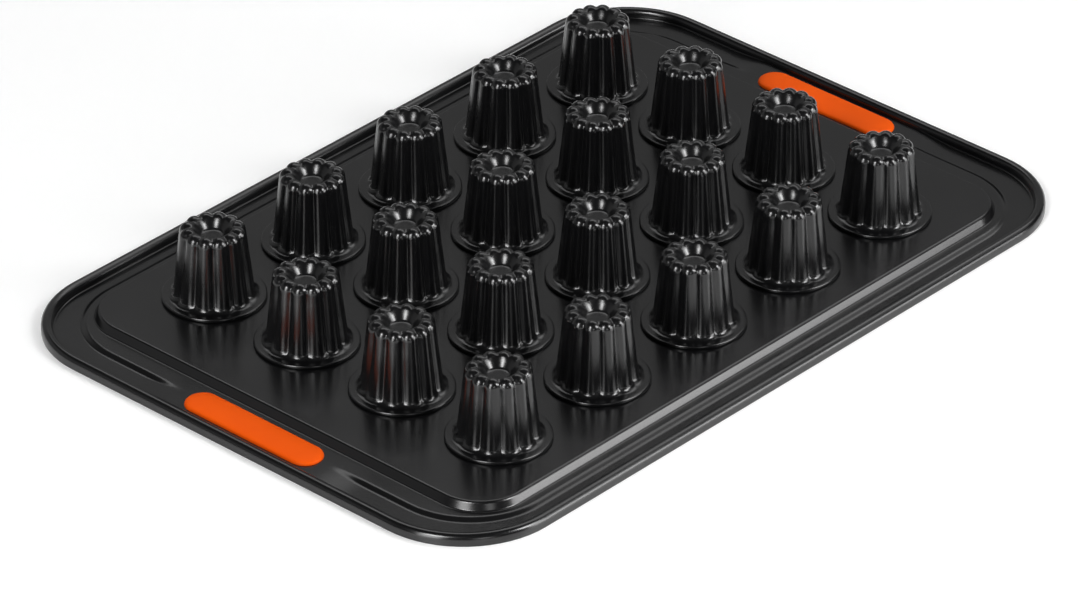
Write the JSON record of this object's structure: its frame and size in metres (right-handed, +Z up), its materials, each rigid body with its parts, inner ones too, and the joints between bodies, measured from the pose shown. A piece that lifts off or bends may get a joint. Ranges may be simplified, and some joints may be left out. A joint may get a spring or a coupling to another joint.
{
  "type": "mini canele pan",
  "caption": "Dark non-stick baking tray with a rolled rim, stepped deck, fluted tapering cups with scalloped dished crowns, and silicone end grips; shown mouths down.",
  "frame": {"origin": "middle of the resting plane under the flange", "axes": "+Z up along the cups with their mouths down, X along the tray's long side, Y across it"},
  "size_m": [0.4, 0.277, 0.0409],
  "materials": {
    "tray_coating": "semi-gloss black non-stick coating on pressed carbon steel",
    "cup_coating": "semi-gloss black non-stick coating on drawn carbon steel",
    "grip_silicone": "satin moulded orange silicone"
  },
  "bodies": {
    "root": {"tray_sheet": "tray_coating", "cup_row1_1": "cup_coating", "cup_row1_2": "cup_coating", "cup_row1_3": "cup_coating", "cup_row1_4": "cup_coating", "cup_row1_5": "cup_coating", "cup_row2_1": "cup_coating", "cup_row2_2": "cup_coating", "cup_row2_3": "cup_coating", "cup_row2_4": "cup_coating", "cup_row2_5": "cup_coating", "cup_row3_1": "cup_coating", "cup_row3_2": "cup_coating", "cup_row3_3": "cup_coating", "cup_row3_4": "cup_coating", "cup_row3_5": "cup_coating", "cup_row4_1": "cup_coating", "cup_row4_2": "cup_coating", "cup_row4_3": "cup_coating", "cup_row4_4": "cup_coating", "cup_row4_5": "cup_coating", "grip_left": "grip_silicone", "grip_right": "grip_silicone"}
  },
  "joints": []
}
